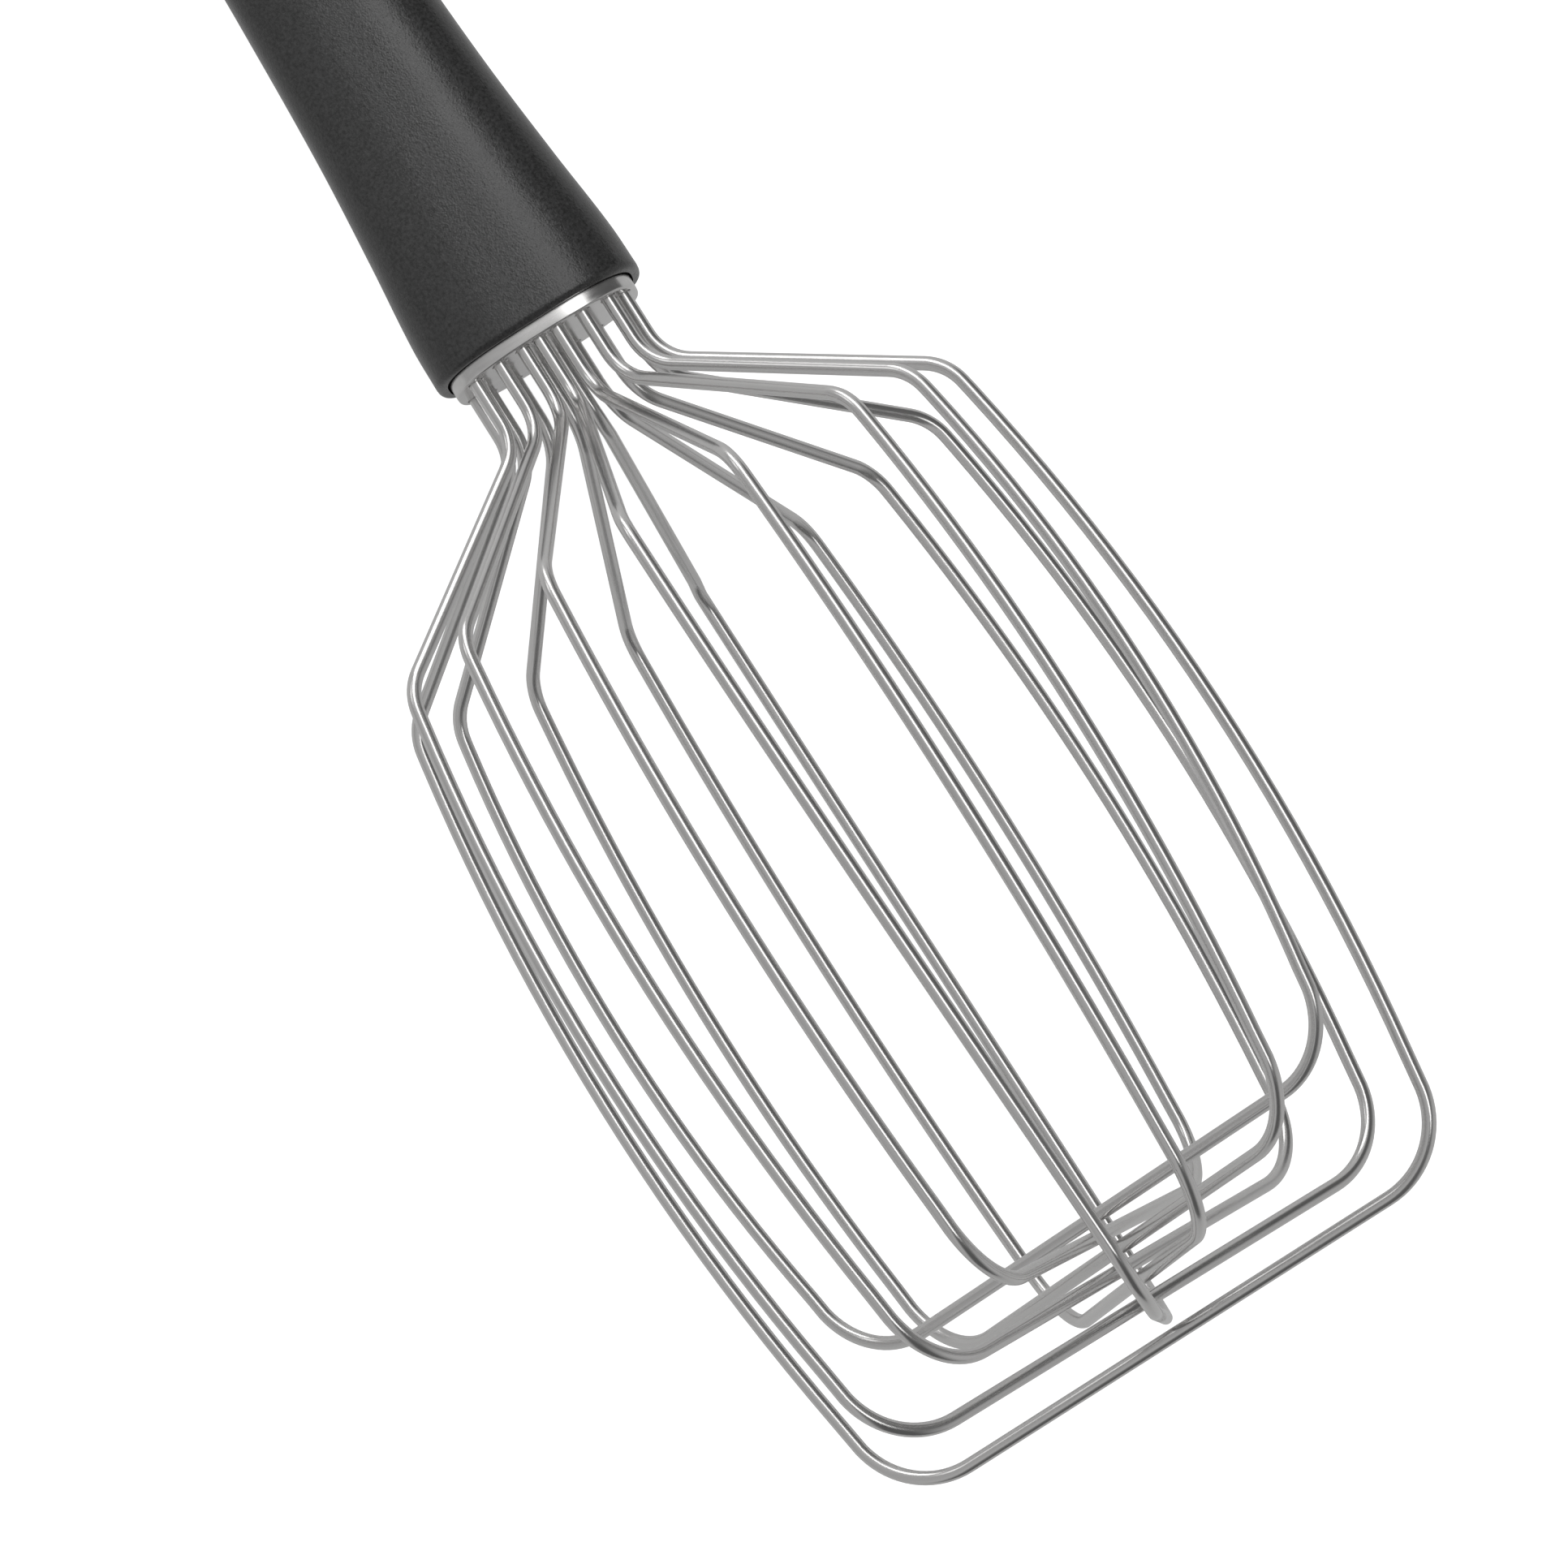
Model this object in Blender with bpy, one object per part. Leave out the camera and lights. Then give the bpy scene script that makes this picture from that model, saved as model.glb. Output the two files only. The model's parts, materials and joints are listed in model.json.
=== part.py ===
"""A hand whisk for pastry: eight squared-off wire loops in an oblong soft-grip handle.

Everything is modelled in the tool's own frame: +X runs along the tool from the butt to the
foot of the cage, with X = 0 on the steel plate that closes the handle's mouth, +Y is the wide
way of the oblong handle and +Z is the thin way. One empty then lays the whole tool down as it
rests on a table, on two neighbouring wire legs and the lower edge of its butt.
"""

import math

import bmesh
import bpy
from mathutils import Matrix, Vector

MM = 0.001
GAP = 0.3 * MM  # between pieces that touch

# Wire loops: one bent wire each, two legs and a straight foot bar.
WIRE_RADIUS = 0.9 * MM
WIRE_END_X = -13.0 * MM  # blind end of every leg, inside the core
NECK_X = 9.5 * MM  # corner where a leg turns outwards
NECK_BEND = 7.0 * MM
SHOULDER_X = 30.4 * MM  # corner where the slant meets the bowed side
SHOULDER_BEND = 7.0 * MM
FOOT_BEND = 11.0 * MM  # corner between the side and the foot bar
CAGE_RADIUS = 46.3 * MM  # at the widest place of the bowed sides
BOW = 5.5 * MM  # how far a side has drawn in half a leg away from there
BOW_CENTRE = 0.48  # the widest place, as a share of the way from shoulder to foot
FOOT_X = 144.5 * MM  # the outermost loop's foot bar
NEST_PITCH = 2.4 * MM  # step from one foot bar to the next one in
BOW_STEPS = 8
BEND_STEPS = 4

# Each loop: its azimuths from +Y towards +Z at the plate, at the front and the back shoulder and
# at the foot bar (degrees; the back leg's is measured from the opposite side), its place in the
# nest in pitches inwards, its girth as a share of the cage's, and how far its foot bar stands
# towards its front leg (mm). A whisk is set by hand, so the loops aren't quite alike.
LOOPS = (
    ("wire_loop_1", 15.0, 15.0, 14.5, 16.0, -0.2, 1.005, 0.5),
    ("wire_loop_2", 31.5, 31.5, 31.0, 33.0, 7.0, 1.0, 0.0),
    ("wire_loop_3", 51.0, 49.5, 52.0, 51.5, 5.0, 1.0, 0.0),
    ("wire_loop_4", 74.5, 74.5, 74.0, 75.0, 3.1, 1.0, 0.0),
    ("wire_loop_5", 94.0, 95.5, 89.5, 91.0, 1.0, 1.0, 0.0),
    ("wire_loop_6", 111.5, 111.5, 112.5, 111.5, 6.0, 1.0, 0.0),
    ("wire_loop_7", 132.0, 132.5, 131.0, 130.5, 4.0, 0.99, 0.0),
    ("wire_loop_8", 153.0, 154.0, 152.5, 152.0, 2.0, 0.99, 0.3),
)

# Every oblong section is a superellipse, squarer than an ellipse.
OBLONG_POWER = 3.0
OBLONG_STEPS = 32

# Steel plate, with the ring of holes that the legs pass through.
PLATE_HALF_WIDTH = 13.15 * MM
PLATE_HALF_DEPTH = 9.0 * MM
PLATE_THICKNESS = 3.0 * MM
PLATE_EDGE = 0.35 * MM
PLATE_EDGE_BULGE = 0.3  # how far the rounded edge stands out of a plain bevel, as a share of it
RING_HALF_WIDTH = 11.5 * MM
RING_HALF_DEPTH = 7.4 * MM
HOLE_RADIUS = 1.05 * MM
HOLE_SIDES = 12

# Grip outline: place along the tool, half width, half depth.
GRIP_SECTIONS = (
    (-1.9, 14.75, 10.6),
    (-8.5, 14.6, 10.6),
    (-20.0, 13.5, 10.2),
    (-34.0, 12.35, 9.5),
    (-50.0, 11.55, 9.2),
    (-68.0, 11.0, 9.2),
    (-88.0, 11.2, 9.6),
    (-104.0, 12.0, 9.9),
    (-114.0, 12.5, 9.9),
)
GRIP_WALL = 1.3 * MM
GRIP_RINGS = 14
LIP_ROUND = 0.9 * MM
LIP_STEPS = 3
SHARP_ANGLE = math.radians(35.0)  # edges sharper than this aren't shaded smooth

# Hollow core inside the grip.
SOCKET_DEPTH = 15.0 * MM  # solid length behind the plate that holds the wire ends
CORE_WALL = 2.2 * MM

# End cap: a domed end with a hanging slot and a flat butt.
CAP_FRONT_X = -114.3 * MM
CAP_BUTT_X = -134.0 * MM
CAP_HALF_WIDTH = 12.5 * MM
CAP_HALF_DEPTH = 9.9 * MM
CAP_ROUND = 4.5 * MM
CAP_ROUND_STEPS = 5
SPIGOT_LENGTH = 9.0 * MM
CAP_STEP = 0.05 * MM  # length of the shoulder that meets the grip's end
SLOT_LENGTH = 15.0 * MM
SLOT_WIDTH = 8.4 * MM
SLOT_X = -123.5 * MM
SLOT_STEPS = 8

# Lying on a table: turned about its own axis so that two neighbouring legs carry the cage,
# then tipped until the butt touches too. The tip is looked for between two angles.
LIE_TURN = math.radians(7.8)
LEAST_TIP = math.radians(5.0)
MOST_TIP = math.radians(16.0)
TIP_HALVINGS = 30
REST_X = -6.91 * MM  # these two centre the laid-down tool over the origin
REST_Y = 0.23 * MM

STEEL = (0.62, 0.62, 0.61, 1.0)
CHARCOAL = (0.055, 0.056, 0.060, 1.0)
CORE_GREY = (0.20, 0.20, 0.21, 1.0)


def clear_scene():
    """Remove the objects of the startup scene."""
    for obj in list(bpy.data.objects):
        bpy.data.objects.remove(obj, do_unlink=True)


def make_material(name, colour, metallic, roughness):
    """A plain Principled finish."""
    material = bpy.data.materials.new(name)
    material.use_nodes = True
    shader = material.node_tree.nodes["Principled BSDF"]
    shader.inputs["Base Color"].default_value = colour
    shader.inputs["Metallic"].default_value = metallic
    shader.inputs["Roughness"].default_value = roughness
    return material


def add_object(name, data, rest, material):
    """Put a mesh or curve in the scene under the empty that lays the tool down."""
    obj = bpy.data.objects.new(name, data)
    bpy.context.scene.collection.objects.link(obj)
    obj.parent = rest
    if material:
        data.materials.append(material)
    return obj


def oblong_radius(half_width, half_depth, angle):
    """Distance from the axis to the oblong's outline, at an angle from +Y towards +Z."""
    across = abs(math.cos(angle)) / half_width
    through = abs(math.sin(angle)) / half_depth
    return (across**OBLONG_POWER + through**OBLONG_POWER) ** (-1.0 / OBLONG_POWER)


def oblong_outline(x, half_width, half_depth):
    """Points of one oblong section, counter-clockwise seen from the foot."""
    outline = []
    for step in range(OBLONG_STEPS):
        angle = 2.0 * math.pi * step / OBLONG_STEPS
        radius = oblong_radius(half_width, half_depth, angle)
        outline.append(Vector((x, radius * math.cos(angle), radius * math.sin(angle))))
    return outline


def loft(name, sections):
    """A closed mesh through (x, half width, half depth) sections, capped at both ends."""
    shell = bmesh.new()
    rings = []
    for x, half_width, half_depth in sections:
        outline = oblong_outline(x, half_width, half_depth)
        rings.append([shell.verts.new(point) for point in outline])
    for ring, following in zip(rings, rings[1:]):
        for i in range(OBLONG_STEPS):
            j = (i + 1) % OBLONG_STEPS
            shell.faces.new((ring[i], ring[j], following[j], following[i]))
    shell.faces.new(rings[0])
    shell.faces.new(rings[-1])
    bmesh.ops.recalc_face_normals(shell, faces=shell.faces)
    mesh = bpy.data.meshes.new(name)
    shell.to_mesh(mesh)
    shell.free()
    mesh.shade_smooth()
    mesh.set_sharp_from_angle(angle=SHARP_ANGLE)
    return mesh


def cut(obj, cutter, label):
    """Take the cutter's shape out of the object, and keep the cutter out of the model."""
    cutter.hide_render = True
    cutter.display_type = "WIRE"
    boolean = obj.modifiers.new(label, "BOOLEAN")
    boolean.operation = "DIFFERENCE"
    boolean.solver = "EXACT"
    boolean.object = cutter


def round_corner(before, corner, after, radius, steps):
    """Points of the arc that rounds one corner of a path in a plane."""
    arriving = (corner - before).normalized()
    leaving = (after - corner).normalized()
    turn = arriving.angle(leaving)
    reach = radius * math.tan(turn / 2.0)
    start = corner - arriving * reach
    inward = (leaving - arriving * arriving.dot(leaving)).normalized()
    centre = start + inward * radius
    arc = []
    for step in range(steps + 1):
        angle = turn * step / steps
        arc.append(centre + radius * (arriving * math.sin(angle) - inward * math.cos(angle)))
    return arc


def bow_radius(share, girth, lean):
    """Distance of a bowed side from the axis, at a share of the way from shoulder to foot."""
    bowed = CAGE_RADIUS - BOW * ((share - BOW_CENTRE) / 0.5) ** 2
    return girth * bowed + lean * share


def leg_profile(root_radius, foot_x, girth, lean):
    """One leg from its blind end to the foot bar's corner, as (x, distance from the axis)."""
    side = []
    for step in range(BOW_STEPS + 1):
        share = step / BOW_STEPS
        x = SHOULDER_X + share * (foot_x - SHOULDER_X)
        side.append(Vector((x, bow_radius(share, girth, lean))))
    root = Vector((WIRE_END_X, root_radius))
    neck = Vector((NECK_X, root_radius))
    middle = Vector((foot_x, 0.0))
    profile = [root]
    profile += round_corner(root, neck, side[0], NECK_BEND, BEND_STEPS)
    profile += round_corner(neck, side[0], side[1], SHOULDER_BEND, BEND_STEPS)
    profile += side[1:-1]
    profile += round_corner(side[-2], side[-1], middle, FOOT_BEND, BEND_STEPS + 2)
    return profile


def leg_azimuth(x, root, shoulder, foot, foot_x):
    """Azimuth of a leg at a place along the tool, straight between hole, shoulder and foot."""
    if x <= NECK_X:
        return root
    if x <= SHOULDER_X:
        return root + (shoulder - root) * (x - NECK_X) / (SHOULDER_X - NECK_X)
    return shoulder + (foot - shoulder) * (x - SHOULDER_X) / (foot_x - SHOULDER_X)


def leg_points(root, shoulder, foot, foot_x, girth, lean):
    """The centre line of one leg in space, from its blind end to the foot bar."""
    points = []
    root_radius = oblong_radius(RING_HALF_WIDTH, RING_HALF_DEPTH, root)
    for x, radius in leg_profile(root_radius, foot_x, girth, lean):
        angle = leg_azimuth(x, root, shoulder, foot, foot_x)
        points.append(Vector((x, radius * math.cos(angle), radius * math.sin(angle))))
    return points


def loop_points(root, front, back, foot, nest, girth, lean):
    """The centre line of a whole loop: up the front leg, across the foot bar, down the back leg."""
    foot_x = FOOT_X - nest * NEST_PITCH
    ahead = (math.radians(angle) for angle in (root, front, foot))
    opposite = (math.radians(angle + 180.0) for angle in (root, back, foot))
    front_leg = leg_points(*ahead, foot_x, girth, lean * MM)
    back_leg = leg_points(*opposite, foot_x, girth, -lean * MM)
    return front_leg + back_leg[::-1]


def hole_places():
    """The azimuth of each leg's hole in the plate, front and back."""
    places = []
    for loop in LOOPS:
        places.append(math.radians(loop[1]))
        places.append(math.radians(loop[1] + 180.0))
    return places


def make_loop(name, route, rest, material):
    """One wire loop, as a round-section curve with closed ends."""
    wire = bpy.data.curves.new(name, "CURVE")
    wire.dimensions = "3D"
    wire.bevel_depth = WIRE_RADIUS
    wire.bevel_resolution = 2
    wire.use_fill_caps = True
    spline = wire.splines.new("POLY")
    spline.points.add(len(route) - 1)
    for point, place in zip(spline.points, route):
        point.co = (*place, 1.0)
    spline.use_smooth = True
    return add_object(name, wire, rest, material)


def hole_cutter(name, near_x, far_x, rest):
    """Sixteen parallel rods, one on each leg, between two places along the tool."""
    rods = bmesh.new()
    for azimuth in hole_places():
        radius = oblong_radius(RING_HALF_WIDTH, RING_HALF_DEPTH, azimuth)
        centre = (near_x + far_x) / 2.0
        place = Vector((centre, radius * math.cos(azimuth), radius * math.sin(azimuth)))
        turned = Matrix.Translation(place) @ Matrix.Rotation(math.radians(90.0), 4, "Y")
        bmesh.ops.create_cone(
            rods,
            cap_ends=True,
            segments=HOLE_SIDES,
            radius1=HOLE_RADIUS,
            radius2=HOLE_RADIUS,
            depth=abs(far_x - near_x),
            matrix=turned,
        )
    mesh = bpy.data.meshes.new(name)
    rods.to_mesh(mesh)
    rods.free()
    return add_object(name, mesh, rest, None)


def make_plate(rest, material):
    """The oblong steel plate: sixteen holes, and a small round on its outer edge."""
    bulge = PLATE_EDGE_BULGE * PLATE_EDGE
    sections = (
        (0.0, PLATE_HALF_WIDTH - PLATE_EDGE, PLATE_HALF_DEPTH - PLATE_EDGE),
        (-bulge, PLATE_HALF_WIDTH - bulge, PLATE_HALF_DEPTH - bulge),
        (-PLATE_EDGE, PLATE_HALF_WIDTH, PLATE_HALF_DEPTH),
        (-PLATE_THICKNESS, PLATE_HALF_WIDTH, PLATE_HALF_DEPTH),
    )
    plate = add_object("ferrule_plate", loft("ferrule_plate", sections), rest, material)
    holes = hole_cutter("plate_holes", -2.0 * PLATE_THICKNESS, PLATE_THICKNESS, rest)
    cut(plate, holes, "leg holes")
    return plate


def grip_size(x):
    """Half width and half depth of the grip's outline, smoothly between its sections."""
    places = [section[0] * MM for section in GRIP_SECTIONS]
    last = len(places) - 1
    span = 0
    while span < last - 1 and x < places[span + 1]:
        span += 1
    share = (x - places[span]) / (places[span + 1] - places[span])
    size = []
    for column in (1, 2):
        low = GRIP_SECTIONS[span][column] * MM
        high = GRIP_SECTIONS[span + 1][column] * MM
        run = places[span + 1] - places[span]
        low_slope = section_slope(span, column) * run
        high_slope = section_slope(span + 1, column) * run
        size.append(hermite(low, high, low_slope, high_slope, share))
    return size


def section_slope(index, column):
    """Slope of the grip's outline at a section, from its neighbours."""
    before = GRIP_SECTIONS[max(index - 1, 0)]
    after = GRIP_SECTIONS[min(index + 1, len(GRIP_SECTIONS) - 1)]
    return (after[column] - before[column]) / (after[0] - before[0])


def hermite(low, high, low_slope, high_slope, share):
    """Cubic between two values with given end slopes."""
    square = share * share
    cube = square * share
    blend = 3.0 * square - 2.0 * cube
    return (
        low * (1.0 - blend)
        + high * blend
        + low_slope * (cube - 2.0 * square + share)
        + high_slope * (cube - square)
    )


def grip_stations():
    """Places along the grip, from its lip to its far end."""
    front = GRIP_SECTIONS[0][0] * MM
    end = GRIP_SECTIONS[-1][0] * MM
    start = front - LIP_ROUND
    return [start + (end - start) * step / GRIP_RINGS for step in range(GRIP_RINGS + 1)]


def inset_sections(stations, inset):
    """Sections that follow the grip's outline at a distance inside it."""
    sections = []
    for x in stations:
        half_width, half_depth = grip_size(x)
        sections.append((x, half_width - inset, half_depth - inset))
    return sections


def core_sections(front, end, shrink):
    """The space inside the grip: the plate's own outline at the mouth, then the grip's, less its wall."""
    sections = [(front, PLATE_HALF_WIDTH - shrink, PLATE_HALF_DEPTH - shrink)]
    for x, half_width, half_depth in inset_sections(grip_stations(), GRIP_WALL + GAP + shrink):
        if front > x > end:
            half_width = min(half_width, PLATE_HALF_WIDTH - shrink)
            sections.append((x, half_width, min(half_depth, PLATE_HALF_DEPTH - shrink)))
    half_width, half_depth = grip_size(end)
    inset = GRIP_WALL + GAP + shrink
    sections.append((end, half_width - inset, half_depth - inset))
    return sections


def make_core(rest, material):
    """The rigid core: solid round the wire ends, then hollow and open towards the butt."""
    front = -PLATE_THICKNESS - GAP
    end = GRIP_SECTIONS[-1][0] * MM
    shell = loft("handle_core", core_sections(front, end, 0.0))
    core = add_object("handle_core", shell, rest, material)
    sockets = hole_cutter("core_sockets", WIRE_END_X - GAP, 0.0, rest)
    cut(core, sockets, "wire sockets")
    hollow_front = -PLATE_THICKNESS - SOCKET_DEPTH
    hollow = core_sections(hollow_front, end, CORE_WALL)
    half_width, half_depth = grip_size(hollow_front)
    inset = GRIP_WALL + GAP + CORE_WALL
    hollow[0] = (hollow_front, half_width - inset, half_depth - inset)
    x, half_width, half_depth = hollow[-1]
    hollow.append((x - CORE_WALL, half_width, half_depth))
    cut(core, add_object("core_hollow", loft("core_hollow", hollow), rest, None), "hollow")
    return core


def make_grip(rest, material):
    """The soft sleeve: rounded lip round the plate, flared mouth, waist and a fuller end."""
    front = GRIP_SECTIONS[0][0] * MM
    end = GRIP_SECTIONS[-1][0] * MM
    half_width, half_depth = grip_size(front)
    sections = []
    for step in range(LIP_STEPS):
        angle = math.radians(90.0) * step / LIP_STEPS
        drop = LIP_ROUND * (1.0 - math.sin(angle))
        back = LIP_ROUND * (1.0 - math.cos(angle))
        sections.append((front - back, half_width - drop, half_depth - drop))
    sections += inset_sections(grip_stations(), 0.0)
    grip = add_object("soft_grip", loft("soft_grip", sections), rest, material)
    bore = core_sections(front + GRIP_WALL, end, -GAP)
    x, half_width, half_depth = bore[-1]
    bore.append((x - GRIP_WALL, half_width, half_depth))
    cut(grip, add_object("grip_bore", loft("grip_bore", bore), rest, None), "bore")
    return grip


def slot_cutter(name, rest):
    """A rod with round ends, through the thin way of the end cap."""
    rod = bmesh.new()
    half_straight = (SLOT_LENGTH - SLOT_WIDTH) / 2.0
    outline = []
    for side in (1.0, -1.0):
        for step in range(SLOT_STEPS + 1):
            angle = math.pi * (step / SLOT_STEPS - 0.5) + (0.0 if side > 0 else math.pi)
            x = SLOT_X + side * half_straight + 0.5 * SLOT_WIDTH * math.cos(angle)
            outline.append(rod.verts.new((x, 0.5 * SLOT_WIDTH * math.sin(angle), -2.0 * CAP_HALF_DEPTH)))
    floor = rod.faces.new(outline)
    walls = bmesh.ops.extrude_face_region(rod, geom=[floor])
    top = [item for item in walls["geom"] if isinstance(item, bmesh.types.BMVert)]
    bmesh.ops.translate(rod, verts=top, vec=(0.0, 0.0, 4.0 * CAP_HALF_DEPTH))
    bmesh.ops.recalc_face_normals(rod, faces=rod.faces)
    mesh = bpy.data.meshes.new(name)
    rod.to_mesh(mesh)
    rod.free()
    return add_object(name, mesh, rest, None)


def cap_sections():
    """Sections of the end cap, from its spigot to its flat butt."""
    spigot_width, spigot_depth = grip_size(GRIP_SECTIONS[-1][0] * MM + SPIGOT_LENGTH)
    inset = GRIP_WALL + 2.0 * GAP + CORE_WALL
    spigot_width -= inset
    spigot_depth -= inset
    sections = [
        (CAP_FRONT_X + SPIGOT_LENGTH, spigot_width - GAP, spigot_depth - GAP),
        (CAP_FRONT_X + SPIGOT_LENGTH - GAP, spigot_width, spigot_depth),
        (CAP_FRONT_X, spigot_width, spigot_depth),
        (CAP_FRONT_X - CAP_STEP, CAP_HALF_WIDTH - GAP, CAP_HALF_DEPTH - GAP),
        (CAP_FRONT_X - GAP, CAP_HALF_WIDTH, CAP_HALF_DEPTH),
    ]
    for step in range(CAP_ROUND_STEPS + 1):
        angle = math.radians(90.0) * (1.0 - step / CAP_ROUND_STEPS)
        x = CAP_BUTT_X + CAP_ROUND * (1.0 - math.cos(angle))
        drop = CAP_ROUND * (1.0 - math.sin(angle))
        sections.append((x, CAP_HALF_WIDTH - drop, CAP_HALF_DEPTH - drop))
    return sections


def make_cap(rest, material):
    """The end cap: a spigot in the core, a domed body with a flat butt, and a hanging slot."""
    cap = add_object("end_cap", loft("end_cap", cap_sections()), rest, material)
    cut(cap, slot_cutter("cap_slot", rest), "hanging slot")
    return cap


def tipped(angle):
    """The turn that lays the tool down, with its cage end up by an angle."""
    return Matrix.Rotation(-angle, 4, "Y") @ Matrix.Rotation(LIE_TURN, 4, "X")


def lowest_wire(pose):
    """Height of the cage's lowest point when the tool is turned by a matrix."""
    heights = []
    for _, *bends in LOOPS:
        heights += [(pose @ point).z for point in loop_points(*bends)]
    return min(heights) - WIRE_RADIUS


def lowest_butt(pose):
    """Height of the end cap's lowest point when the tool is turned by a matrix."""
    heights = []
    for section in cap_sections():
        heights += [(pose @ point).z for point in oblong_outline(*section)]
    return min(heights)


def lay_down(rest):
    """Tip the tool until its cage and its butt are level, and set it down on Z = 0."""
    low = LEAST_TIP
    high = MOST_TIP
    for _ in range(TIP_HALVINGS):
        angle = (low + high) / 2.0
        pose = tipped(angle)
        if lowest_butt(pose) > lowest_wire(pose):
            low = angle
        else:
            high = angle
    rest.matrix_world = Matrix.Translation((REST_X, REST_Y, -lowest_wire(pose))) @ pose


def main():
    """Model every piece under one empty, then lay the tool down."""
    clear_scene()
    rest = bpy.data.objects.new("tool_at_rest", None)
    bpy.context.scene.collection.objects.link(rest)
    steel_wire = make_material("steel_wire", STEEL, 1.0, 0.22)
    brushed_plate = make_material("brushed_plate", STEEL, 1.0, 0.38)
    soft_touch = make_material("soft_touch", CHARCOAL, 0.0, 0.55)
    core_plastic = make_material("core_plastic", CORE_GREY, 0.0, 0.5)
    cap_plastic = make_material("cap_plastic", CHARCOAL, 0.0, 0.42)
    for name, *bends in LOOPS:
        make_loop(name, loop_points(*bends), rest, steel_wire)
    make_plate(rest, brushed_plate)
    make_core(rest, core_plastic)
    make_grip(rest, soft_touch)
    make_cap(rest, cap_plastic)
    lay_down(rest)


main()
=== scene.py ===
"""Looks of a hand whisk for pastry: drawn steel loops, a satin plate, a soft grip and its end cap.

Every piece is modelled in the tool's own frame, where +X runs from the butt to the foot of the
cage with X = 0 on the face of the steel plate, +Y is the wide way of the handle and +Z is its thin
way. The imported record's mount then gives the one matrix that lays all of them on the table.
"""

import json
import logging
import math
from collections.abc import Callable, Iterable
from dataclasses import dataclass
from enum import Enum

import bmesh
import bpy
from mathutils import Matrix, Vector


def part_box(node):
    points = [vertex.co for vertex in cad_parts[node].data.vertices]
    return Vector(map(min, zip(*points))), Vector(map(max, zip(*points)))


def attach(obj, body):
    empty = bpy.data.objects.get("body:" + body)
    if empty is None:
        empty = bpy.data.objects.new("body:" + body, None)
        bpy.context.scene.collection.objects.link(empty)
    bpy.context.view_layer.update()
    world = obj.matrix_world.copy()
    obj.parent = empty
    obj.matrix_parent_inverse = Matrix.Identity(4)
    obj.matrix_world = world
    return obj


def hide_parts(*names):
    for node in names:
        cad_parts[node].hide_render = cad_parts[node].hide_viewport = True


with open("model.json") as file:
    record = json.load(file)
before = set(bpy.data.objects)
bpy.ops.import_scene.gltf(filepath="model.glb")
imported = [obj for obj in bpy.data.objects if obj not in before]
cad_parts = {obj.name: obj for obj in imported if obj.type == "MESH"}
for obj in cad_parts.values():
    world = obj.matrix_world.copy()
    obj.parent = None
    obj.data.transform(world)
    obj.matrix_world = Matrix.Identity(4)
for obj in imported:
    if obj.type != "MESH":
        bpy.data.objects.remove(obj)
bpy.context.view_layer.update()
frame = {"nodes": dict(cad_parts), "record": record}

LOG = logging.getLogger("whisk")
MM = 0.001
GAP = 0.3 * MM  # between pieces that touch
SPACE = "tool_space"  # the attribute that patterns follow
HALF_TURN = math.pi
QUARTER_TURN = math.pi / 2.0
SHARPEST_SMOOTH = math.radians(38.0)  # a sharper edge between faces isn't shaded smooth

Place = tuple[Vector, Vector]  # a point in the tool's frame, and where it lies in its pattern


# ------------------------------ outlines and paths


@dataclass(frozen=True)
class Oblong:
    """A section across the handle: a superellipse, squarer than an ellipse."""

    half_width: float
    half_depth: float
    power: float = 3.0

    def radius(self, angle: float) -> float:
        """Distance from the axis to the outline.

        Args:
            angle: from +Y towards +Z.

        Returns:
            The distance.
        """
        across = abs(math.cos(angle)) / self.half_width
        through = abs(math.sin(angle)) / self.half_depth
        return (across**self.power + through**self.power) ** (-1.0 / self.power)

    def point(self, x: float, angle: float) -> Vector:
        """The outline's point at an angle, with the section standing at a place along the tool."""
        radius = self.radius(angle)
        return Vector((x, radius * math.cos(angle), radius * math.sin(angle)))

    def inset(self, depth: float) -> "Oblong":
        """The same section, smaller by a depth all round."""
        return Oblong(self.half_width - depth, self.half_depth - depth, self.power)


PLATE_OUTLINE = Oblong(13.15 * MM, 9.0 * MM)  # of the steel plate, and so of the grip's mouth


def arc_steps(steps: int, turn: float = QUARTER_TURN) -> Iterable[tuple[float, float]]:
    """The sine and cosine at even steps of a turn.

    Args:
        steps: how many steps the turn takes.
        turn: the whole angle, a quarter turn unless it is given.

    Returns:
        One (sine, cosine) for each step, both ends included.
    """
    return [(math.sin(turn * i / steps), math.cos(turn * i / steps)) for i in range(steps + 1)]


def round_corner(
    before: Vector, corner: Vector, after: Vector, radius: float, steps: int
) -> list[Vector]:
    """Round one corner of a flat path with an arc.

    Args:
        before: the path's point before the corner.
        corner: the corner itself.
        after: the path's point after it.
        radius: of the arc.
        steps: how many chords the arc takes.

    Returns:
        The arc's points, both ends included.
    """
    arriving = (corner - before).normalized()
    leaving = (after - corner).normalized()
    turn = arriving.angle(leaving)
    start = corner - arriving * radius * math.tan(turn / 2.0)
    inward = (leaving - arriving * arriving.dot(leaving)).normalized()
    centre = start + inward * radius
    return [centre + radius * (arriving * s - inward * c) for s, c in arc_steps(steps, turn)]


def hermite(low: float, high: float, low_slope: float, high_slope: float, share: float) -> float:
    """A cubic between two values.

    Args:
        low: the first value.
        high: the second value.
        low_slope: the cubic's slope at the first, for the whole way.
        high_slope: its slope at the second.
        share: how far along the way, from 0 to 1.

    Returns:
        The value there.
    """
    square = share * share
    cube = square * share
    blend = 3.0 * square - 2.0 * cube
    bend = low_slope * (cube - 2.0 * square + share) + high_slope * (cube - square)
    return low * (1.0 - blend) + high * blend + bend


# ------------------------------ meshes


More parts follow.
